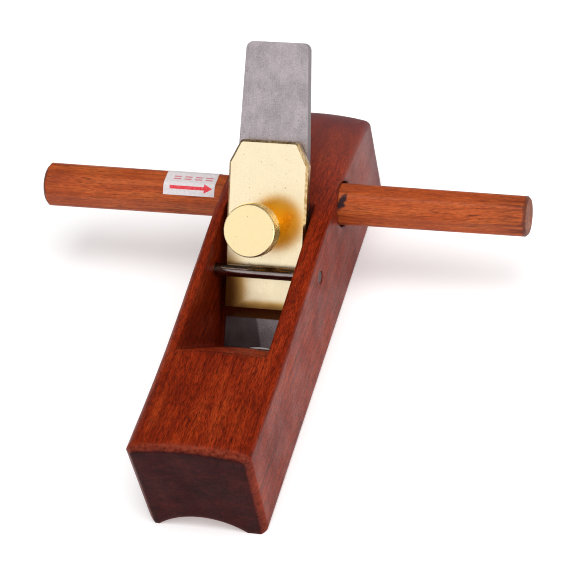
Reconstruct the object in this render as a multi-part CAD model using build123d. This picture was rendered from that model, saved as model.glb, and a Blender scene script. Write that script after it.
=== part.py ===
from build123d import *
import os
from math import cos, radians, sin

os.makedirs("parts", exist_ok=True)

# Millimetres. X runs across the plane, along the handle. Y runs from the toe
# (y = 0) to the heel. Z is up, and the feet of the sole stand on z = 0.

# plane body
BODY_L = 194.0
SIDE_LEFT_TOP, SIDE_LEFT_FOOT = -26.35, -23.6
SIDE_RIGHT_TOP, SIDE_RIGHT_FOOT = 24.6, 24.4
FOOT_ROUND_LEFT, FOOT_ROUND_RIGHT = 2.2, 2.2
CROWN_R = 100.0                      # arch of the top face from side to side
CROWN_LEFT, CROWN_RIGHT = -20.95, 21.95
EASE_LEFT, EASE_RIGHT = 6.0, 3.5     # rounding of the long top edges
TOP_LINE = [                         # height of the top along the middle, (y, z)
    (-8.0, 47.1), (30.0, 46.1), (60.0, 46.5), (90.0, 48.6), (120.0, 50.7),
    (135.0, 51.1), (150.0, 50.6), (165.0, 49.1), (180.0, 46.5), (190.0, 43.6), (200.0, 38.4),
]
TOE_CHAMFER = 2.4
TOE_SOFTEN = 0.8                     # rounding of the chamfer's front edge
HEEL_ROUND = 2.0

# hollow sole
SOLE_R = 27.85
SOLE_X, SOLE_Z = -1.5, -21.2

# bed and throat
BED_ANGLE = 49.88
BED_Y = 89.85                        # where the bed plane meets z = 0
THROAT_LEFT, THROAT_RIGHT = -19.6, 17.9
THROAT_FRONT = 50.4
MOUTH_TOP_Y, MOUTH_TOP_Z = 88.4, 6.9
BREAST_R = 44.0                      # upright bulge left on the throat's front wall
BREAST_X, BREAST_Y = 6.0, 14.4
LIP_SLOPE = 25.0                     # hand-cut ease at the top of the breast

# cutting iron
IRON_T = 4.4
IRON_X = 0.1
IRON_HALF_EDGE, IRON_HALF_TOP = 17.55, 13.0
IRON_TOP_U = 128.9
IRON_CORNER_R = 3.0
IRON_REACH = 0.15                    # how far the edge stands out of the sole
BEVEL_CLEAR = 20.0
ON_IRON = 0.02                       # running gap under the cap's lip and the stud's end

# lever cap
CAP_T = 4.1
CAP_GAP = 0.5
CAP_LEFT, CAP_RIGHT = -16.9, 16.4
CAP_TOP_U, CAP_LIP_U, CAP_FACE_U = 89.4, 16.7, 21.3
CAP_CLIP_X, CAP_CLIP_U = 4.7, 9.3
CAP_EDGE = 0.9

# cross pin
PIN_R = 2.55
PIN_U = 36.3
PIN_SUNK = 0.2                       # how far the ends lie below the wood

# thumbscrew
SCREW_X, SCREW_U = -0.8, 54.5
STUD_R = 3.0
SCREW_RUN = 0.05
HEAD_R = 10.92
HEAD_T = 7.7
HEAD_GAP = 12.4                      # clear height under the head
HEAD_SOCKET = 5.5

# cross handle
HANDLE_Y, HANDLE_Z = 144.6, 37.3
HANDLE_LEFT, HANDLE_RIGHT = -105.0, 102.0
HANDLE_R_LEFT, HANDLE_R_RIGHT = 9.5, 8.6
HANDLE_FLAT = 0.955                  # flats stand at this share of the radius
HANDLE_END = 1.3
MORTISE_R_LEFT, MORTISE_R_RIGHT = 9.2, 9.65

# paper label on the handle
LABEL_LEFT, LABEL_RIGHT = -51.1, -28.7
LABEL_FROM, LABEL_TO = 40.0, 141.5   # degrees round the handle, from +Y over the top
LABEL_T = 0.15

CAP_FACE = IRON_T + CAP_GAP + CAP_T
PIN_D = CAP_FACE + 0.05 + PIN_R
BED = Plane(origin=(0, BED_Y, 0), x_dir=(1, 0, 0),
            z_dir=(0, -sin(radians(BED_ANGLE)), cos(radians(BED_ANGLE))))


def crown_drop(x):
    """How far the arched top has fallen at x from its middle line."""
    return CROWN_R - (CROWN_R ** 2 - x ** 2) ** 0.5


def top_waste():
    """Everything above the top face: its arched section run along the top line."""
    left = (CROWN_LEFT, -crown_drop(CROWN_LEFT))
    right = (CROWN_RIGHT, -crown_drop(CROWN_RIGHT))
    left_in = (-CROWN_LEFT / CROWN_R, -(CROWN_R + left[1]) / CROWN_R)
    right_in = (-CROWN_RIGHT / CROWN_R, -(CROWN_R + right[1]) / CROWN_R)
    lc = (left[0] + EASE_LEFT * left_in[0], left[1] + EASE_LEFT * left_in[1])
    rc = (right[0] + EASE_RIGHT * right_in[0], right[1] + EASE_RIGHT * right_in[1])
    l_mid = (lc[0] - EASE_LEFT * 0.8, lc[1] + EASE_LEFT * 0.6)
    r_mid = (rc[0] + EASE_RIGHT * 0.8, rc[1] + EASE_RIGHT * 0.6)
    l_side = (lc[0] - EASE_LEFT, lc[1])
    r_side = (rc[0] + EASE_RIGHT, rc[1])
    y0, z0 = TOP_LINE[0]

    def at(p):
        return (p[0], y0, z0 + p[1])

    outline = Wire([
        Line(at((-40, l_side[1])), at(l_side)).edge(),
        ThreePointArc(at(l_side), at(l_mid), at(left)).edge(),
        ThreePointArc(at(left), at((0, 0)), at(right)).edge(),
        ThreePointArc(at(right), at(r_mid), at(r_side)).edge(),
        Line(at(r_side), at((40, r_side[1]))).edge(),
        Line(at((40, r_side[1])), at((40, 30))).edge(),
        Line(at((40, 30)), at((-40, 30))).edge(),
        Line(at((-40, 30)), at((-40, l_side[1]))).edge(),
    ])
    path = Spline(*[(0, y, z) for y, z in TOP_LINE], tangents=[(0, 1, 0), (0, 1, -0.6)])
    return sweep(Face(outline), path=path)


def body_block():
    """The long block: drafted sides and an arched top."""
    section = make_face(Polyline(
        (SIDE_LEFT_FOOT, 0), (SIDE_RIGHT_FOOT, 0), (SIDE_RIGHT_TOP, 60), (SIDE_LEFT_TOP, 60),
        close=True))
    toe = Plane(origin=(0, 0, 0), x_dir=(1, 0, 0), z_dir=(0, -1, 0))
    block = extrude(toe * section, amount=-BODY_L)
    return block - top_waste()


def ease_ends(block):
    """Round the heel and chamfer the toe over the top and down both sides."""
    heel = block.faces().sort_by(Axis.Y)[-1]
    block = fillet(heel.edges().filter_by(lambda e: e.center().Z > 3), HEEL_ROUND)
    toe = block.faces().sort_by(Axis.Y)[0]
    block = chamfer(toe.edges().filter_by(lambda e: e.center().Z > 3), TOE_CHAMFER)
    toe = block.faces().sort_by(Axis.Y)[0]
    return fillet(toe.edges().filter_by(lambda e: e.center().Z > 3), TOE_SOFTEN)


def foot_waste(side, way, r):
    """What rounding takes off a long bottom corner; way is +1 where wood lies to the right."""
    over = 0.04                      # the round meets both faces at a slight angle
    corner = Pos(side + way * (r - 1) / 2, (r - 1) / 2) * Rectangle(r + 1, r + 1)
    corner -= Pos(side + way * (r - over), r - over) * Circle(r)
    front = Plane(origin=(0, -10, 0), x_dir=(1, 0, 0), z_dir=(0, -1, 0))
    return extrude(front * corner, amount=-(BODY_L + 20))


def throat():
    """The space cut for the iron: bed behind, breast in front, mouth below."""
    bed_run = cos(radians(BED_ANGLE)) / sin(radians(BED_ANGLE))
    side = Polyline(
        (BED_Y - bed_run * 2, -2), (BED_Y + bed_run * 60, 60), (THROAT_FRONT, 60),
        (THROAT_FRONT, 45.5), (MOUTH_TOP_Y, MOUTH_TOP_Z),
        (MOUTH_TOP_Y - bed_run * (MOUTH_TOP_Z + 2), -2), close=True)
    across = Plane(origin=(THROAT_LEFT, 0, 0), x_dir=(0, 1, 0), z_dir=(1, 0, 0))
    space = extrude(across * make_face(side), amount=THROAT_RIGHT - THROAT_LEFT)
    breast = Pos(BREAST_X, BREAST_Y, 20) * Cylinder(BREAST_R, 120)
    return space - breast


def breast_ease():
    """The shallow sloping cut that eases the top of the breast."""
    fall = sin(radians(LIP_SLOPE)) / cos(radians(LIP_SLOPE))
    side = Polyline(
        (THROAT_FRONT, 60), (THROAT_FRONT, 44.6), (THROAT_FRONT + 12, 44.6 - 12 * fall),
        (THROAT_FRONT + 12, 60), close=True)
    across = Plane(origin=(THROAT_LEFT, 0, 0), x_dir=(0, 1, 0), z_dir=(1, 0, 0))
    return extrude(across * make_face(side), amount=THROAT_RIGHT - THROAT_LEFT)


def plane_body():
    block = ease_ends(body_block())
    block -= foot_waste(SIDE_LEFT_FOOT, 1, FOOT_ROUND_LEFT)
    block -= foot_waste(SIDE_RIGHT_FOOT, -1, FOOT_ROUND_RIGHT)
    block -= Pos(SOLE_X, BODY_L / 2, SOLE_Z) * Rot(90, 0, 0) * Cylinder(SOLE_R, BODY_L + 20)
    block -= throat()
    block -= breast_ease()
    along_x = Plane(origin=(0, HANDLE_Y, HANDLE_Z), x_dir=(0, 1, 0), z_dir=(1, 0, 0))
    block -= along_x * Cone(MORTISE_R_LEFT - (MORTISE_R_RIGHT - MORTISE_R_LEFT) * 0.1,
                            MORTISE_R_RIGHT + (MORTISE_R_RIGHT - MORTISE_R_LEFT) * 0.1, 60)
    block -= pin_axis() * Cylinder(PIN_R + 0.01, 80)
    return block


def pin_axis():
    """The cross pin's axis: it lies across the bed, just clear of the cap's face."""
    spot = BED * Location((0, PIN_U, PIN_D))
    return Plane(origin=spot.position, x_dir=(0, 1, 0), z_dir=(1, 0, 0))


def cutting_iron():
    """A tapered flat blade with its edge ground to the curve of the sole."""
    half = IRON_HALF_EDGE - IRON_HALF_TOP
    low = IRON_HALF_EDGE + half * 15 / IRON_TOP_U
    outline = make_face(Polyline(
        (IRON_X - low, -15), (IRON_X + low, -15), (IRON_X + IRON_HALF_TOP, IRON_TOP_U),
        (IRON_X - IRON_HALF_TOP, IRON_TOP_U), close=True))
    outline = fillet(outline.vertices().sort_by(Axis.Y)[-2:], IRON_CORNER_R)
    blade = extrude(BED * outline, amount=IRON_T)
    # The ground bevel runs back and up from the edge. Its section across the plane
    # is the sole's circle, flattened so that the edge itself lies on that circle.
    flat = 1 - sin(radians(BEVEL_CLEAR)) / cos(radians(BEVEL_CLEAR)) \
        * cos(radians(BED_ANGLE)) / sin(radians(BED_ANGLE))
    crown_z = SOLE_Z + SOLE_R - IRON_REACH
    face = BED * Location((0, 0, IRON_T))
    edge_y = face.position.Y + (crown_z - face.position.Z) * cos(radians(BED_ANGLE)) \
        / sin(radians(BED_ANGLE))
    grind = Plane(origin=(SOLE_X, edge_y, crown_z), x_dir=(1, 0, 0), z_dir=(0, -1, 0))
    oval = grind * Pos(0, -SOLE_R * flat) * Ellipse(SOLE_R, SOLE_R * flat)
    run = Vector(0, cos(radians(BEVEL_CLEAR)), sin(radians(BEVEL_CLEAR)))
    blade -= extrude(oval, amount=40, dir=run) + extrude(oval, amount=40, dir=-run)
    blade -= Pos(0, BED_Y, -29.9) * Box(80, 80, 60)
    return blade.solids().sort_by(SortBy.VOLUME)[-1]


def lever_cap():
    """A thick flat plate with clipped top corners and a bevelled lip on the iron."""
    outline = make_face(Polyline(
        (CAP_LEFT, 0), (CAP_RIGHT, 0), (CAP_RIGHT, CAP_TOP_U - CAP_CLIP_U),
        (CAP_RIGHT - CAP_CLIP_X, CAP_TOP_U), (CAP_LEFT + CAP_CLIP_X, CAP_TOP_U),
        (CAP_LEFT, CAP_TOP_U - CAP_CLIP_U), close=True))
    outline = fillet(outline.vertices().sort_by(Axis.Y)[2:], 2.0)
    under, foot = IRON_T + CAP_GAP, IRON_T + ON_IRON
    side = make_face(Polyline(
        (CAP_LIP_U, foot), (CAP_LIP_U + 2.5, foot), (CAP_LIP_U + 4.5, under),
        (CAP_TOP_U + 1, under), (CAP_TOP_U + 1, CAP_FACE), (CAP_FACE_U, CAP_FACE),
        (CAP_LIP_U, foot + 0.4), close=True))
    across = Plane(origin=(BED * Location((CAP_LEFT - 1, 0, 0))).position,
                   x_dir=BED.y_dir, z_dir=(1, 0, 0))
    plate = extrude(across * side, amount=CAP_RIGHT - CAP_LEFT + 2)
    plate &= extrude(BED * outline, amount=CAP_FACE + 5)
    face = plate.faces().filter_by(lambda f: abs(BED.to_local_coords(f.center()).Z - CAP_FACE) < 0.01)
    plate = chamfer(face[0].edges().filter_by(
        lambda e: BED.to_local_coords(e.center()).Y > CAP_FACE_U + 1), CAP_EDGE)
    plate -= BED * Location((SCREW_X, SCREW_U, 0)) * Cylinder(STUD_R + SCREW_RUN, 60)
    return plate


def screw_at(height):
    return BED * Location((SCREW_X, SCREW_U, height))


def screw_stud():
    """The stud: it stands on the iron, passes the cap and is set in the head."""
    length = CAP_FACE + HEAD_GAP + HEAD_SOCKET - 0.05 - IRON_T - ON_IRON
    bar = Cylinder(STUD_R, length, align=(Align.CENTER, Align.CENTER, Align.MIN))
    bar = chamfer(bar.edges(), 0.5)
    return screw_at(IRON_T + ON_IRON) * bar


def screw_head():
    head = Cylinder(HEAD_R, HEAD_T, align=(Align.CENTER, Align.CENTER, Align.MIN))
    head = chamfer(head.edges(), 0.45)
    head -= Cylinder(STUD_R + 0.02, 2 * HEAD_SOCKET)
    return screw_at(CAP_FACE + HEAD_GAP) * head


def cross_pin():
    """A plain steel pin through both cheeks, its ends just under the wood."""
    spot = pin_axis()
    up = spot.origin.Z / 60
    left = SIDE_LEFT_FOOT + (SIDE_LEFT_TOP - SIDE_LEFT_FOOT) * up + PIN_SUNK
    right = SIDE_RIGHT_FOOT + (SIDE_RIGHT_TOP - SIDE_RIGHT_FOOT) * up - PIN_SUNK
    bar = Cylinder(PIN_R, right - left)
    bar = chamfer(bar.edges(), 0.3)
    spot.origin = Vector((left + right) / 2, spot.origin.Y, spot.origin.Z)
    return spot * bar


def handle_bar(grow):
    """The tapered bar, thicker on the left: a round dowel with eight planed flats."""
    ends = [(HANDLE_LEFT, HANDLE_R_LEFT + grow), (HANDLE_RIGHT, HANDLE_R_RIGHT + grow)]
    flats = []
    for x, r in ends:
        station = Plane(origin=(x, HANDLE_Y, HANDLE_Z), x_dir=(0, 1, 0), z_dir=(1, 0, 0))
        flats.append(station * RegularPolygon(
            r - HANDLE_R_LEFT * (1 - HANDLE_FLAT), 8, major_radius=False, rotation=22.5))
    mid = Plane(origin=((HANDLE_LEFT + HANDLE_RIGHT) / 2, HANDLE_Y, HANDLE_Z),
                x_dir=(0, 1, 0), z_dir=(1, 0, 0))
    cone = mid * Cone(ends[0][1], ends[1][1], HANDLE_RIGHT - HANDLE_LEFT)
    return cone & loft(flats, ruled=True)


def handle_ends():
    """A bar with coned ends, to bevel the ends of the handle."""
    mid = Plane(origin=((HANDLE_LEFT + HANDLE_RIGHT) / 2, HANDLE_Y, HANDLE_Z),
                x_dir=(0, 1, 0), z_dir=(1, 0, 0))
    length = HANDLE_RIGHT - HANDLE_LEFT
    side = make_face(Polyline(
        (-length / 2, 0), (-length / 2, HANDLE_R_LEFT - HANDLE_END),
        (-length / 2 + HANDLE_END + 0.8, HANDLE_R_LEFT + 0.8),
        (length / 2 - HANDLE_END - 0.8, HANDLE_R_LEFT + 0.8),
        (length / 2 - HANDLE_END - 0.8, HANDLE_R_RIGHT + 0.8),
        (length / 2, HANDLE_R_RIGHT - HANDLE_END), (length / 2, 0), close=True))
    turned = revolve(side, Axis.X)
    return Pos(mid.origin.X, mid.origin.Y, mid.origin.Z) * turned


def cross_handle():
    return handle_bar(0) & handle_ends()


def direction_label():
    """A strip of paper stuck round the top and front of the handle's thick end."""
    wrap = handle_bar(LABEL_T) - handle_bar(0)
    mid = (LABEL_FROM + LABEL_TO) / 2
    reach = 40.0
    spots = [(0, 0)]
    for step in range(5):
        a = radians(LABEL_FROM + (LABEL_TO - LABEL_FROM) * step / 4)
        spots.append((reach * cos(a), reach * sin(a)))
    across = Plane(origin=(LABEL_LEFT, HANDLE_Y, HANDLE_Z), x_dir=(0, 1, 0), z_dir=(1, 0, 0))
    wedge = extrude(across * make_face(Polyline(*spots, close=True)),
                    amount=LABEL_RIGHT - LABEL_LEFT)
    return wrap & wedge


PARTS = {
    "plane_body": plane_body,
    "cutting_iron": cutting_iron,
    "lever_cap": lever_cap,
    "screw_stud": screw_stud,
    "screw_head": screw_head,
    "cross_pin": cross_pin,
    "cross_handle": cross_handle,
    "direction_label": direction_label,
}

# The parts are placed so that the origin is under the middle of the whole plane.
CENTRE = Pos(-(HANDLE_LEFT + HANDLE_RIGHT) / 2, -BODY_L / 2, 0)

for name, make in PARTS.items():
    shape = CENTRE * make()
    print(name, len(shape.solids()), shape.is_valid, round(shape.volume, 2), shape.bounding_box())
    export_step(shape, "parts/" + name + ".step")
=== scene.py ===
from math import cos, pi, radians, sin

import bmesh
import bpy
from mathutils import Matrix, Vector


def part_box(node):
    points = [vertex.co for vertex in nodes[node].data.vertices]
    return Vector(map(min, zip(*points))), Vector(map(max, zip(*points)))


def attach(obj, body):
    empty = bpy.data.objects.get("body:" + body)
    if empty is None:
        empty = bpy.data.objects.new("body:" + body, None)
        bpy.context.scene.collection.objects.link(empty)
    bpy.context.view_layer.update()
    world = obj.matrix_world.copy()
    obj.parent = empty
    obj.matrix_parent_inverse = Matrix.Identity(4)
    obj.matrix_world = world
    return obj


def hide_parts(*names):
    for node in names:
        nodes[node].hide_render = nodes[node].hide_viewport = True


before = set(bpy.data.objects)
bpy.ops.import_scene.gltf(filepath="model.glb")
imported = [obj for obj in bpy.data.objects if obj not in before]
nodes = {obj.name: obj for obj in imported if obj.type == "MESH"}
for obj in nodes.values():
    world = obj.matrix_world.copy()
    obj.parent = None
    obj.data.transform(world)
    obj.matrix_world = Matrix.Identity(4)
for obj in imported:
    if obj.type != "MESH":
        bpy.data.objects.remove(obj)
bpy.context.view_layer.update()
scene = bpy.context.scene

# The bed's directions: across the iron, up along it, and out from its face.
BED_ANGLE = radians(49.88)
ACROSS = Vector((1, 0, 0))
UP_BED = Vector((0, cos(BED_ANGLE), sin(BED_ANGLE)))
OUT_BED = Vector((0, -sin(BED_ANGLE), cos(BED_ANGLE)))

# The thumbscrew, in metres.
KNURL_DEPTH, KNURLS_ROUND, KNURL_ROWS = 0.00042, 92, 9
HEAD_LIP = 0.0004
SOCKET_RADIUS, SOCKET_DEPTH = 0.00302, 0.0055
THREAD_PITCH, THREAD_DEPTH, THREAD_SIDES = 0.001, 0.00061, 40


# ------------------------------------------------------------------ measures
def middle(node):
    low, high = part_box(node)
    return (low + high) / 2


def radius(node):
    """The radius of a round piece that stands square to X."""
    low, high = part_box(node)
    return (high.x - low.x) / 2


def extent(node, way):
    """Where the piece begins and ends in one direction."""
    reach = [v.co.dot(way) for v in nodes[node].data.vertices]
    return min(reach), max(reach)


# ------------------------------------------------------------------ camera
AZIMUTH, ELEVATION, ROLL = 23.72, 44.53, -12.61    # degrees
TARGET = Vector((0.010214, 0.009415, 0.025164))
DISTANCE = 1.01453
LENS, SENSOR = 156.25, 36    # millimetres
CLIP_END = 20


def make_camera():
    """The main view, from above the toe and to one side of it."""
    a, e, r = radians(AZIMUTH), radians(ELEVATION), radians(ROLL)
    back = Vector((sin(a) * cos(e), -cos(a) * cos(e), sin(e)))
    level = Vector((cos(a), sin(a), 0))
    rise = back.cross(level)
    right = level * cos(r) + rise * sin(r)
    up = rise * cos(r) - level * sin(r)
    data = bpy.data.cameras.new("camera")
    data.lens = LENS
    data.sensor_width = SENSOR
    data.clip_end = CLIP_END
    cam = bpy.data.objects.new("camera", data)
    scene.collection.objects.link(cam)
    place = Matrix((right, up, back)).transposed().to_4x4()
    place.translation = TARGET + back * DISTANCE
    cam.matrix_world = place
    scene.camera = cam


# ------------------------------------------------------------------ light
WHITE = (1, 1, 1, 1)
LIT_POINT = Vector((0, 0, 0.03))
LIGHT_BOUNCES, GLOSSY_BOUNCES = 16, 12
FILTER_WIDTH = 1.1
FILL_STRENGTH = 0.2
FLOOR_HALF = 4
FLOOR_LOOK = {"Base Color": (0.9, 0.9, 0.9, 1), "Roughness": 0.9,
              "Emission Color": WHITE, "Emission Strength": 0.25}


def soft_box(name, toward, distance, size, watts):
    """A square light that hangs in one direction from the plane and faces it."""
    data = bpy.data.lights.new(name, "AREA")
    data.shape = "SQUARE"
    data.size = size
    data.energy = watts
    lamp = bpy.data.objects.new(name, data)
    scene.collection.objects.link(lamp)
    way = Vector(toward).normalized()
    lamp.location = LIT_POINT + way * distance
    lamp.rotation_euler = way.to_track_quat("Z", "Y").to_euler()


def make_world():
    """White where the camera looks past the floor, and a faint fill for everything else."""
    world = bpy.data.worlds.new("studio")
    scene.world = world
    world.use_nodes = True
    tree = world.node_tree
    seen = tree.nodes.new("ShaderNodeBackground")
    seen.inputs["Color"].default_value = WHITE
    fill = tree.nodes["Background"]
    fill.inputs["Color"].default_value = WHITE
    fill.inputs["Strength"].default_value = FILL_STRENGTH
    path = tree.nodes.new("ShaderNodeLightPath")
    both = tree.nodes.new("ShaderNodeMixShader")
    tree.links.new(path.outputs["Is Camera Ray"], both.inputs[0])
    tree.links.new(fill.outputs[0], both.inputs[1])
    tree.links.new(seen.outputs[0], both.inputs[2])
    tree.links.new(both.outputs[0], tree.nodes["World Output"].inputs["Surface"])


def make_floor():
    """A pale floor, with a faint glow that keeps the shadows light."""
    mesh = bpy.data.meshes.new("floor")
    corners = [(x * FLOOR_HALF, y * FLOOR_HALF, 0)
               for x, y in ((-1, -1), (1, -1), (1, 1), (-1, 1))]
    mesh.from_pydata(corners, [], [(0, 1, 2, 3)])
    floor = bpy.data.objects.new("floor", mesh)
    scene.collection.objects.link(floor)
    paint = bpy.data.materials.new("floor_paint")
    paint.use_nodes = True
    shader = paint.node_tree.nodes["Principled BSDF"]
    for key, value in FLOOR_LOOK.items():
        shader.inputs[key].default_value = value
    mesh.materials.append(paint)


def make_studio():
    scene.view_settings.view_transform = "Standard"
    scene.cycles.max_bounces = LIGHT_BOUNCES
    scene.cycles.glossy_bounces = GLOSSY_BOUNCES
    scene.cycles.filter_width = FILTER_WIDTH
    soft_box("front_left", (-0.40, -0.85, 0.55), distance=1.5, size=1.4, watts=5.6)
    soft_box("front_right", (1.0, -0.45, 0.62), distance=1.5, size=1.9, watts=17.0)
    soft_box("overhead", (0.10, -0.05, 1.0), distance=1.7, size=1.3, watts=21.0)
    make_world()
    make_floor()


# ------------------------------------------------------------------ material graphs
class Graph:
    """One material's node tree, with a short call for each kind of node used here."""

    def __init__(self, name):
        self.material = bpy.data.materials.new(name)
        self.material.use_nodes = True
        self.tree = self.material.node_tree
        self.shader = self.tree.nodes["Principled BSDF"]
        spot = self.tree.nodes.new("ShaderNodeTexCoord")
        self.place, self.normal = spot.outputs["Object"], spot.outputs["Normal"]

    def put(self, value, socket):
        """Link an output, or set a plain value."""
        if isinstance(value, bpy.types.NodeSocket):
            self.tree.links.new(value, socket)
        elif isinstance(value, tuple) and socket.type == "RGBA":
            socket.default_value = (*value, 1)
        else:
            socket.default_value = value

    def node(self, kind, *inputs, **settings):
        """A new node; an input given as None keeps its own value."""
        made = self.tree.nodes.new("ShaderNode" + kind)
        for key, value in settings.items():
            setattr(made, key, value)
        for socket, value in zip(made.inputs, inputs):
            if value is not None:
                self.put(value, socket)
        return made

    # Numbers.
    def math(self, operation, a, b=None, clamp=False):
        return self.node("Math", a, b, operation=operation, use_clamp=clamp).outputs[0]

    def plus(self, a, b):
        return self.math("ADD", a, b)

    def minus(self, a, b):
        return self.math("SUBTRACT", a, b)

    def times(self, a, b):
        return self.math("MULTIPLY", a, b)

    def most(self, a, b):
        return self.math("MAXIMUM", a, b)

    def unsigned(self, value):
        return self.math("ABSOLUTE", value)

    def fit(self, value, low, high, to_low=0.0, to_high=1.0, smooth=True):
        """Low to high becomes the other range, and the value is held at its ends."""
        made = self.node("MapRange", value, low, high, to_low, to_high)
        made.interpolation_type = "SMOOTHSTEP" if smooth else "LINEAR"
        return made.outputs[0]

    def spread(self, noise, low, high):
        """A noise stretched to a range, from the band that nearly all of it lies in."""
        return self.fit(noise, 0.3, 0.7, low, high)

    # Vectors.
    def vector(self, operation, a, b):
        return self.node("VectorMath", a, b, operation=operation).outputs[0]

    def length(self, vector):
        return self.node("VectorMath", vector, operation="LENGTH").outputs["Value"]

    def dot(self, vector, way):
        """How far a vector reaches in a fixed direction."""
        made = self.node("VectorMath", vector, tuple(way), operation="DOT_PRODUCT")
        return made.outputs["Value"]

    def split(self, vector):
        return self.node("SeparateXYZ", vector).outputs

    def join(self, x, y, z):
        return self.node("CombineXYZ", x, y, z).outputs[0]

    # Patterns.
    def mm(self, lengths, at=None):
        """Coordinates in features: one unit is that many millimetres along each axis."""
        return self.vector("MULTIPLY", at or self.place, tuple(1000 / n for n in lengths))

    def noise(self, lengths, detail=2.0, rough=0.5, at=None):
        """Soft noise from 0 to 1, its features as long as that along each axis."""
        made = self.node("TexNoise", noise_dimensions="3D")
        self.put(self.mm(lengths, at), made.inputs["Vector"])
        made.inputs["Scale"].default_value = 1.0
        made.inputs["Detail"].default_value = detail
        made.inputs["Roughness"].default_value = rough
        return made.outputs[0]

    def dots(self, size):
        """Distance from the nearest of many scattered points, and that point's own number."""
        made = self.node("TexVoronoi", voronoi_dimensions="3D")
        self.put(self.mm((size,) * 3), made.inputs["Vector"])
        made.inputs["Scale"].default_value = 1.0
        number = self.node("SeparateColor", made.outputs["Color"]).outputs[0]
        return made.outputs["Distance"], number

    # Colours.
    def ramp(self, value, stops):
        made = self.node("ValToRGB", value)
        points = made.color_ramp.elements
        while len(points) < len(stops):
            points.new(0.5)
        for point, (at, colour) in zip(points, stops):
            point.position = at
            point.color = (*colour, 1)
        return made.outputs["Color"]

    def mix(self, share, a, b, how="MIX"):
        made = self.node("Mix", data_type="RGBA", blend_type=how, clamp_result=False)
        sockets = made.inputs[0], made.inputs[6], made.inputs[7]
        for value, socket in zip((share, a, b), sockets):
            self.put(value, socket)
        return made.outputs[2]

    def scaled(self, colour, gain):
        """A colour times a number."""
        grey = self.node("CombineColor", gain, gain, gain).outputs[0]
        return self.mix(1.0, colour, grey, "MULTIPLY")

    # Shading.
    def eased(self, edge):
        """The normal, with the edges rounded by that many millimetres."""
        made = self.node("Bevel", samples=8)
        made.inputs["Radius"].default_value = edge / 1000
        return made.outputs[0]

    def bump(self, height, depth, normal=None):
        """Relief whose full height is that many millimetres."""
        made = self.node("Bump")
        if normal:
            self.put(normal, made.inputs["Normal"])
        made.inputs["Strength"].default_value = 1.0
        made.inputs["Distance"].default_value = depth / 1000
        self.put(height, made.inputs["Height"])
        self.put(made.outputs[0], self.shader.inputs["Normal"])

    def finish(self, **inputs):
        for key, value in inputs.items():
            self.put(value, self.shader.inputs[key.replace("_", " ")])
        return self.material


# ------------------------------------------------------------------ wood
def wood(name, along, light, mid, dark, end_tint, gloss, shine, coarse, edge, marks):
    """Oiled hardwood: the grain runs along X (0) or Y (1), and the rings lie level.

    end_tint multiplies the colour on the end grain. gloss is the roughness, shine the
    specular level, coarse the strength of the fibres and pores, and edge the rounding of
    the arrises in millimetres. marks(g, colour, worn) adds what only this piece has.
    """
    g = Graph(name)

    def by_grain(long, across, high):
        return (long, across, high) if along == 0 else (across, long, high)

    def darker(share):
        return tuple(c * share for c in dark)

    # The rings and the broad figure.
    drift = g.noise(by_grain(70, 30, 30), detail=1.0)
    flow = g.vector("ADD", g.place, g.join(0.0, 0.0, g.spread(drift, -0.0012, 0.0012)))
    rings = g.noise(by_grain(60, 3.5, 1.5), detail=3.0, rough=0.6, at=flow)
    figure = g.noise(by_grain(24, 16, 16), detail=3.0)
    tone = g.plus(g.times(rings, 0.55), g.times(figure, 0.45))
    colour = g.ramp(tone, [(0.3, dark), (0.5, mid), (0.68, light)])

    # Fibres, dark streaks and open pores.
    fibre = g.noise(by_grain(2.6, 0.36, 0.34), rough=0.6, at=flow)
    swing = 0.42 * coarse
    colour = g.scaled(colour, g.spread(fibre, 1 - swing, 1 + swing))
    streak = g.noise(by_grain(50, 1.5, 0.9), at=flow)
    colour = g.mix(g.fit(streak, 0.52, 0.68, 0.0, 0.38), colour, darker(0.6))
    pore = g.fit(g.noise(by_grain(4.5, 0.30, 0.30), detail=1.0, at=flow), 0.60, 0.68)
    colour = g.mix(g.times(pore, 0.7 * coarse), colour, darker(0.4))

    # Fine dark seams, in patches.
    off_seam = g.unsigned(g.minus(g.noise(by_grain(45, 1.7, 1.7), at=flow), 0.5))
    patches = g.fit(g.noise((24, 15, 15), detail=1.0), 0.5, 0.62)
    check = g.times(g.fit(off_seam, 0.0, 0.022, 1.0, 0.0), patches)
    colour = g.mix(g.times(check, 0.75), colour, darker(0.35))

    # The end grain.
    worn = g.eased(edge)
    end = g.fit(g.unsigned(g.split(worn)[along]), 0.45, 0.95)
    tint = g.scaled(end_tint, g.spread(g.noise((9, 9, 5), detail=3.0), 0.75, 1.2))
    colour = g.mix(end, colour, g.mix(1.0, colour, tint, "MULTIPLY"))
    colour = marks(g, colour, worn)

    patchy = g.noise((14, 14, 14), detail=3.0)
    roughness = g.plus(g.spread(patchy, gloss - 0.05, gloss + 0.08), g.times(end, 0.12))
    g.bump(g.minus(g.times(fibre, 0.35), pore), depth=0.05, normal=worn)
    return g.finish(Base_Color=colour, Roughness=roughness, IOR=1.5, Specular_IOR_Level=shine)


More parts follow.
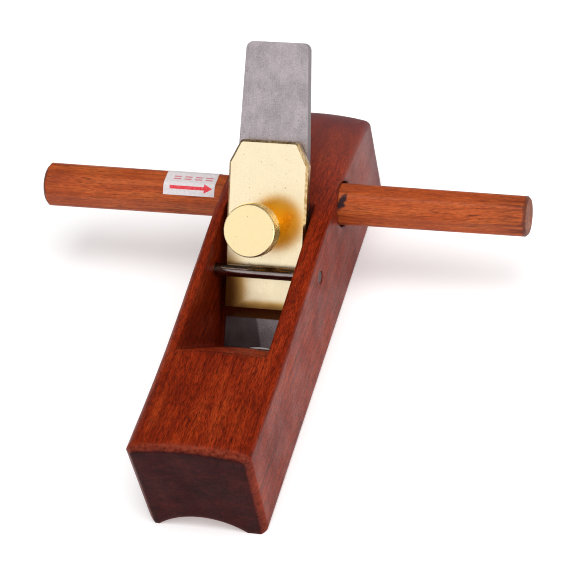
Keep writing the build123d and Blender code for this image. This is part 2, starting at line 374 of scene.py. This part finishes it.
def body_painted_sheen_and_dark_heel(g, colour, worn):
    """The body has a painted sheen, paler along the toe's arris and towards the heel, and the
    heel's end is darker.
    """
    low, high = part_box("plane_body")
    y = g.split(g.place)[1]
    facing, up = g.split(worn)[1:]
    facing = g.unsigned(facing)
    # Painted highlight: a paler sheen along the top of the toe's arris.
    slant = g.times(g.fit(facing, 0.25, 0.55), g.fit(facing, 0.75, 0.97, 1.0, 0.0))
    at_toe = g.fit(y, low.y + 0.003, low.y + 0.006, 1.0, 0.0)
    ragged = g.fit(g.noise((2.2, 1.2, 1.2), detail=3.0, rough=0.65), 0.35, 0.65, 0.1, 0.65)
    arris = g.times(g.times(slant, at_toe), g.times(ragged, g.fit(up, 0.1, 0.5, 0.5, 1.0)))
    colour = g.mix(arris, colour, (0.26, 0.048, 0.023))
    # Painted sheen: paler towards the heel.
    painted_light = g.fit(y, 0.02, high.y - 0.01, 0.0, 0.38)
    colour = g.mix(painted_light, colour, (0.30, 0.10, 0.085))
    at_heel = g.fit(y, high.y - 0.020, high.y - 0.002, 0.0, 0.6)
    return g.mix(at_heel, colour, (0.10, 0.030, 0.040))


def handle_marks(g, colour, worn):
    """Grime at the handle's thin end, painted black shade beside the cheek for a gap at the
    mortise, and dark rims.
    """
    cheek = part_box("plane_body")[1].x
    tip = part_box("cross_handle")[1].x
    to_tip = g.fit(g.split(g.place)[0], tip - 0.018, tip - 0.002, 0.0, 0.9)
    streaks = g.fit(g.noise((14, 1.3, 1.3), detail=3.0, rough=0.6), 0.42, 0.62, 0.15, 1.0)
    colour = g.mix(g.times(to_tip, streaks), colour, (0.13, 0.024, 0.008))

    # Painted shade: a near-black patch at the handle's root beside the cheek, standing for a
    # dark gap at the mortise.
    spot = (cheek + 0.0018, 0.0415, 0.0445)
    x, y, z = g.split(g.vector("SUBTRACT", g.place, spot))
    lean = g.plus(x, g.times(z, -0.35))
    away = g.length(g.mm((2.0, 4.5, 4.2), g.join(lean, y, z)))
    ragged = g.spread(g.noise((3.0, 1.6, 1.6)), -0.22, 0.22)
    blotch = g.fit(g.plus(away, ragged), 0.5, 1.05, 0.95, 0.0)
    colour = g.mix(blotch, colour, (0.010, 0.006, 0.012))

    facing = g.unsigned(g.split(worn)[0])
    rim = g.times(g.fit(facing, 0.15, 0.5), g.fit(facing, 0.88, 0.99, 0.75, 0.0))
    return g.mix(rim, colour, (0.09, 0.022, 0.012))


# ------------------------------------------------------------------ metal
def brushed(name, colour, roughness, specks, speck_colour, mottle, deep=None):
    """Worked metal: fine lines along the bed, a mottled film and scattered specks.

    specks is the share of the scattered points that show, and mottle the film's
    unevenness. deep(g, film, bed) adds what only this piece has.
    """
    g = Graph(name)
    bed = g.join(*(g.dot(g.place, way) for way in (ACROSS, UP_BED, OUT_BED)))
    lines = g.noise((0.22, 16, 0.22), detail=3.0, rough=0.7, at=bed)
    cloud = g.noise((7, 9, 7), detail=4.0, rough=0.65, at=bed)
    grit = g.noise((0.55, 0.6, 0.55), detail=3.0, rough=0.7, at=bed)
    tone = g.plus(g.spread(cloud, -mottle, mottle),
                  g.plus(g.spread(grit, -mottle, mottle),
                         g.spread(lines, -mottle / 2, mottle / 2)))
    film = g.scaled(colour, g.plus(tone, 1.0))
    near, number = g.dots(1.5)
    shown = g.fit(number, 1 - specks, 1.001 - specks, smooth=False)
    speck = g.times(g.fit(near, 0.08, 0.17, 1.0, 0.0), shown)
    film = g.mix(g.times(speck, 0.75), film, speck_colour)
    if deep:
        film = deep(g, film, bed)
    g.bump(g.minus(lines, g.times(speck, 0.3)), depth=0.008)
    rough = g.plus(g.spread(cloud, roughness - 0.05, roughness + 0.06), g.times(speck, 0.2))
    return g.finish(Base_Color=film, Roughness=rough, Metallic=1.0)


def from_screw(g, bed, across=0.0, up=0.0):
    """Distance from the thumbscrew's axis, or from a line beside it."""
    foot = middle("screw_head")
    line = (foot.x + across, foot.dot(UP_BED) + up, 0.0)
    return g.length(g.vector("MULTIPLY", g.vector("SUBTRACT", bed, line), (1, 1, 0)))


def groove_tarnish_and_painted_reflection(g, film, bed):
    """The head is tarnished in the knurl's grooves, and painted deep gold on its rim and
    underside, standing for light bounced between the head and the cap.
    """
    crest = radius("screw_head")
    groove = g.fit(from_screw(g, bed), crest - KNURL_DEPTH, crest - KNURL_DEPTH * 0.35,
                   0.9, 0.0)
    facing = g.dot(g.normal, OUT_BED)
    rim = g.fit(g.unsigned(facing), 0.50, 0.55, 1.0, 0.0)
    # Painted reflection: the rim and underside are given a deeper gold than the face, for the
    # light bounced off the cap.
    film = g.mix(g.times(rim, 0.7), film, (0.98, 0.66, 0.17))
    film = g.mix(g.times(groove, rim), film, (0.12, 0.06, 0.02))
    return g.mix(g.fit(facing, -0.8, -0.4, 1.0, 0.0), film, (1.0, 0.70, 0.13))


def cap_edges_and_painted_reflections(g, film, bed):
    """The cap is brown at its edges; painted reflections darken its left foot, its lip and a
    band under the pin, and a painted gold reflection lies beside the screw.
    """
    edge = g.fit(g.dot(g.normal, OUT_BED), 0.75, 0.98, 1.0, 0.0)
    ragged = g.spread(g.noise((1.0, 1.4, 1.0), detail=3.0, at=bed), 0.6, 1.0)
    film = g.mix(g.times(edge, ragged), film, (0.30, 0.17, 0.045))

    # Painted reflection: the left foot and the lip are browned and darkened where they would
    # reflect the wooden wall and the dark throat.
    x, up = g.split(bed)[:2]
    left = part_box("lever_cap")[0].x
    foot = extent("lever_cap", UP_BED)[0]
    corner = g.join(g.fit(x, left, left + 0.0125, smooth=False),
                    g.fit(up, foot + 0.0120, foot + 0.0300, smooth=False), 0.0)
    brink = g.fit(up, foot + 0.0045, foot + 0.0100, 0.8, 0.0)
    brown = g.most(g.fit(g.length(corner), 0.1, 1.15, 1.0, 0.0), brink)
    film = g.mix(g.fit(brown, 0.0, 0.6), film, (0.56, 0.33, 0.10))
    film = g.mix(g.fit(brown, 0.3, 1.0), film, (0.13, 0.046, 0.010))
    lip = g.fit(up, foot + 0.0040, foot + 0.0046, 1.0, 0.0)
    film = g.mix(lip, film, (0.34, 0.13, 0.03))

    # Painted shade: a dark band where the pin's shadow and reflection fall on the cap.
    pin_up = middle("cross_pin").dot(UP_BED)
    off_pin = g.unsigned(g.minus(up, pin_up + 0.0006))
    painted_pin_shade = g.times(g.fit(off_pin, 0.0010, 0.0037, 0.95, 0.0), ragged)
    film = g.mix(painted_pin_shade, film, (0.14, 0.065, 0.025))

    # Painted reflection: deep gold beside the thumbscrew, standing for light bounced between
    # the head's underside and the cap.
    away = from_screw(g, bed, across=0.0052, up=0.0022)
    film = g.mix(g.fit(away, 0.0075, 0.0135, 0.92, 0.0), film, (0.66, 0.35, 0.05))
    return g.mix(g.fit(away, 0.0035, 0.0105, 1.0, 0.0), film, (1.0, 0.70, 0.06))


def iron_pits_and_painted_shade(g, film, bed):
    """The iron's pitting and dark edges, with painted shade below the cap, lifted to a painted
    patch of light in one corner.
    """
    x, up = g.split(bed)[:2]
    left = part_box("cutting_iron")[0].x
    pitted = g.fit(g.noise((0.9, 1.3, 0.9), detail=3.0, rough=0.7, at=bed), 0.56, 0.66,
                   0.0, 0.6)
    near_left = g.fit(x, left + 0.001, left + 0.005, 1.0, 0.25)
    film = g.mix(g.times(pitted, near_left), film, (0.16, 0.14, 0.14))

    facing = g.dot(g.normal, OUT_BED)
    edge = g.times(g.fit(facing, 0.75, 0.98, 0.75, 0.0), g.fit(facing, -0.98, -0.75))
    film = g.mix(edge, film, (0.10, 0.08, 0.085))

    # Painted shade below the cap, where the throat is dark, and a painted patch of light in one
    # corner where light falls through the throat.
    up_cap = g.minus(up, extent("lever_cap", UP_BED)[0])
    painted_shade = g.fit(up_cap, 0.004, 0.008, 0.84, 0.0)
    lean = g.plus(x, g.times(up_cap, 0.21))
    painted_light = g.fit(lean, -0.0030, -0.0018, 0.0, 0.55)
    return g.mix(g.math("SUBTRACT", painted_shade, painted_light, clamp=True), film, (0.07, 0.045, 0.045))


def pin_steel():
    """Polished steel, with a painted brown reflection of the cap along the upper side, and dark
    on the cut ends.
    """
    g = Graph("pin_steel")
    turning = g.noise((0.35, 9, 9), detail=3.0, rough=0.6)
    scuff = g.noise((6, 1.2, 1.2), detail=4.0, rough=0.7)
    colour = g.ramp(scuff, [(0.3, (0.19, 0.15, 0.14)), (0.7, (0.40, 0.34, 0.33))])
    # Painted reflection: the upper side is brown where it would reflect the brass cap above it.
    above = g.fit(g.dot(g.normal, UP_BED), 0.0, 0.4, 0.0, 0.85)
    colour = g.mix(above, colour, (0.07, 0.038, 0.022))
    end = g.fit(g.unsigned(g.split(g.normal)[0]), 0.8, 0.95)
    colour = g.mix(end, colour, (0.07, 0.055, 0.06))
    g.bump(turning, depth=0.006)
    rough = g.plus(g.spread(scuff, 0.12, 0.22), g.times(end, 0.3))
    return g.finish(Base_Color=colour, Roughness=rough, Metallic=1.0)


# ------------------------------------------------------------------ paper
# The label's print, in millimetres: along it from its left end, and round the handle from
# the arrow's middle line.
ARROW_ANGLE, PRINT_RADIUS = radians(121.0), 9.3
TAIL, NECK, TIP = 2.7, 17.7, 21.4
SHAFT_HALF, HEAD_HALF = 0.72, 2.05
BARS_START, BARS_PITCH = 3.2, 4.6
BAR_SPAN = (0.12, 0.8)    # shares of the pitch
BAR_ROWS = ((-6.0, -5.3), (-4.6, -3.9))
PRINT_SOFT = 0.05


def paper_print(g):
    """The label's red arrow, and two rows of plain bars where its wording was."""
    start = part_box("direction_label")[0].x
    axis = middle("cross_handle")
    x, y, z = g.split(g.place)
    along = g.times(g.minus(x, start), 1000.0)
    angle = g.math("ARCTAN2", g.minus(z, axis.z), g.minus(y, axis.y))
    round_by = g.times(g.minus(angle, ARROW_ANGLE), PRINT_RADIUS)

    def span(value, low_end, high_end, soft=PRINT_SOFT):
        """1 inside the span and 0 outside."""
        rise = g.fit(value, low_end - soft, low_end + soft, smooth=False)
        fall = g.fit(value, high_end - soft, high_end + soft, 1.0, 0.0, smooth=False)
        return g.times(rise, fall)

    shaft = g.times(span(along, TAIL, NECK + 0.5), span(round_by, -SHAFT_HALF, SHAFT_HALF))
    half = g.fit(along, NECK, TIP, HEAD_HALF, 0.0, smooth=False)
    past = g.minus(g.unsigned(round_by), half)
    head = g.times(span(along, NECK, TIP),
                   g.fit(past, -PRINT_SOFT, PRINT_SOFT, 1.0, 0.0, smooth=False))
    step = g.math("FRACT", g.math("DIVIDE", g.minus(along, BARS_START), BARS_PITCH))
    bars = g.times(span(step, *BAR_SPAN, soft=0.02), span(along, BARS_START, TIP))
    rows = g.most(*(span(round_by, *row) for row in BAR_ROWS))
    return g.most(shaft, head), g.times(bars, rows)


def label_paper():
    """White paper, stained in places, with worn print."""
    g = Graph("label_paper")
    arrow, bars = paper_print(g)
    pulp = g.noise((1.1, 1.1, 1.1), detail=4.0, rough=0.7)
    blotch = g.noise((9, 9, 9))
    paper = g.ramp(pulp, [(0.3, (0.60, 0.55, 0.56)), (0.7, (0.76, 0.71, 0.72))])
    paper = g.mix(g.fit(blotch, 0.5, 0.75, 0.0, 0.25), paper, (0.55, 0.42, 0.38))
    worn = g.fit(g.noise((0.5, 0.5, 0.5)), 0.3, 0.55, 0.8, 1.0)
    paper = g.mix(g.times(arrow, worn), paper, (0.72, 0.014, 0.032))
    paper = g.mix(g.times(bars, g.times(worn, 0.8)), paper, (0.60, 0.06, 0.10))
    g.bump(pulp, depth=0.01)
    return g.finish(Base_Color=paper, Roughness=g.spread(pulp, 0.42, 0.6), IOR=1.45)


def dress(node, material):
    """Give a CAD node its material."""
    slots = nodes[node].data.materials
    slots.clear()
    slots.append(material)
    for face in nodes[node].data.polygons:
        face.material_index = 0


# ------------------------------------------------------------------ new pieces
def piece(name, verts, faces, body, material, stands_for):
    """A flat-shaded mesh that rides on a body in place of a CAD node."""
    mesh = bpy.data.meshes.new(name)
    mesh.from_pydata(verts, [], faces)
    work = bmesh.new()
    work.from_mesh(mesh)
    bmesh.ops.remove_doubles(work, verts=work.verts, dist=1e-7)
    bmesh.ops.dissolve_degenerate(work, edges=work.edges, dist=1e-8)
    bmesh.ops.recalc_face_normals(work, faces=work.faces)
    work.to_mesh(mesh)
    work.free()
    mesh.materials.append(material)
    mesh.shade_flat()
    made = bpy.data.objects.new(name, mesh)
    scene.collection.objects.link(made)
    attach(made, body)
    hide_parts(stands_for)


def screw_axis(node):
    """Where the node's axis meets the plane through the origin that is square to it."""
    centre = middle(node)
    return centre - OUT_BED * centre.dot(OUT_BED)


def outward(angle):
    """The direction square to the thumbscrew's axis at that angle."""
    return ACROSS * cos(angle) + UP_BED * sin(angle)


def ring(centre, reach, count, turn=0.0):
    """Points round the thumbscrew's axis, turned by a share of one step."""
    return [centre + outward(2 * pi * (i + turn) / count) * reach for i in range(count)]


def band(a, b):
    """The faces between two loops of the same length."""
    return [(a[i], a[(i + 1) % len(a)], b[(i + 1) % len(b)], b[i]) for i in range(len(a))]


def knurled_head(material):
    """The round head, its rim cut into small pyramids by two crossing sets of grooves."""
    low, high = extent("screw_head", OUT_BED)
    axis = screw_axis("screw_head")
    crest = radius("screw_head")
    root = crest - KNURL_DEPTH
    count, rows = KNURLS_ROUND, KNURL_ROWS
    verts, faces = [], []

    def loop(d, reach, steps, turn=0.0):
        """A ring of new points, as their numbers."""
        verts.extend(ring(axis + OUT_BED * d, reach, steps, turn))
        return list(range(len(verts) - steps, len(verts)))

    bottom, top = low + HEAD_LIP, high - HEAD_LIP
    step = (top - bottom) / rows
    grooves, peaks = [], []
    for k in range(rows + 1):
        turn = 0.5 * (k % 2)
        tip = crest - (KNURL_DEPTH * 0.8 if k in (0, rows) else 0)    # low in the end rows
        grooves.append(loop(bottom + step * k, root, count, turn))
        peaks.append(loop(bottom + step * k, tip, count, turn + 0.5))
    for k in range(rows + 1):
        for i in range(count):
            left, right, peak = grooves[k][i], grooves[k][(i + 1) % count], peaks[k][i]
            beside = (i + k % 2) % count
            if k < rows:
                above = grooves[k + 1][beside]
                faces += [(left, peak, above), (peak, right, above)]
            if k > 0:
                below = grooves[k - 1][beside]
                faces += [(left, below, peak), (peak, below, right)]

    def zigzag(k):
        """The edge of one end row, as one loop."""
        return [point for pair in zip(grooves[k], peaks[k]) for point in pair]

    face_reach = root - HEAD_LIP * 0.7
    under = loop(low, face_reach, 2 * count)
    crown = loop(high, face_reach, 2 * count)
    crown_in = loop(high, face_reach - HEAD_LIP, 2 * count)
    faces += band(zigzag(0), under) + band(zigzag(rows), crown) + band(crown, crown_in)
    faces.append(tuple(crown_in))
    socket = loop(low, SOCKET_RADIUS, 2 * count)
    socket_end = loop(low + SOCKET_DEPTH, SOCKET_RADIUS, 2 * count)
    faces += band(under, socket) + band(socket, socket_end)
    faces.append(tuple(socket_end))
    piece("knurled_head", verts, faces, "screw_head", material, "screw_head")


def threaded_stud(material):
    """The stud with its 1 mm thread, which runs out to the root at both ends."""
    low, high = extent("screw_stud", OUT_BED)
    axis = screw_axis("screw_stud")
    crest = radius("screw_stud")
    root = crest - THREAD_DEPTH
    # One turn of the thread: shares of the pitch, and the distance from the axis.
    profile = [(0.0, root), (0.14, root), (0.44, crest), (0.56, crest), (0.86, root)]
    turns = int((high - low) / THREAD_PITCH) + 2
    verts, faces, rows = [], [], []
    for t in range(-1, turns):
        for share, reach in profile:
            row = []
            for i in range(THREAD_SIDES + 1):
                d = low + THREAD_PITCH * (t + share + i / THREAD_SIDES)
                held = min(max(d, low), high)
                run_out = root + min(held - low, high - held)
                depth = root if held != d else min(reach, run_out)
                row.append(len(verts))
                verts.append(axis + OUT_BED * held
                             + outward(2 * pi * i / THREAD_SIDES) * depth)
            rows.append(row)
    for a, b in zip(rows, rows[1:]):
        faces += [(a[i], a[i + 1], b[i + 1], b[i]) for i in range(THREAD_SIDES)]
    for end in (low, high):
        faces.append(tuple(range(len(verts), len(verts) + THREAD_SIDES)))
        verts += ring(axis + OUT_BED * end, root, THREAD_SIDES)
    piece("threaded_stud", verts, faces, "screw_stud", material, "screw_stud")


# ------------------------------------------------------------------ the scene
make_camera()
make_studio()

dress("plane_body", wood(
    "rosewood", along=1, light=(0.29, 0.034, 0.006), mid=(0.20, 0.017, 0.003),
    dark=(0.10, 0.008, 0.002), end_tint=(0.20, 0.22, 1.2), gloss=0.34, shine=0.06,
    coarse=1.0, edge=2.6, marks=body_painted_sheen_and_dark_heel))
dress("cross_handle", wood(
    "handle_wood", along=0, light=(0.47, 0.108, 0.026), mid=(0.39, 0.070, 0.015),
    dark=(0.21, 0.032, 0.010), end_tint=(0.8, 1.15, 1.5), gloss=0.40, shine=0.17,
    coarse=0.5, edge=1.4, marks=handle_marks))
dress("cutting_iron", brushed(
    "iron_steel", (0.43, 0.38, 0.40), roughness=0.42, specks=0.25,
    speck_colour=(0.10, 0.08, 0.08), mottle=0.16, deep=iron_pits_and_painted_shade))
dress("lever_cap", brushed(
    "cap_brass", (0.94, 0.80, 0.55), roughness=0.30, specks=0.22,
    speck_colour=(0.35, 0.22, 0.08), mottle=0.035, deep=cap_edges_and_painted_reflections))
dress("cross_pin", pin_steel())
dress("direction_label", label_paper())
knurled_head(brushed(
    "head_brass", (0.95, 0.77, 0.44), roughness=0.32, specks=0.15,
    speck_colour=(0.4, 0.25, 0.1), mottle=0.03, deep=groove_tarnish_and_painted_reflection))
threaded_stud(brushed(
    "stud_brass", (0.88, 0.64, 0.28), roughness=0.28, specks=0.1,
    speck_colour=(0.25, 0.13, 0.04), mottle=0.05))
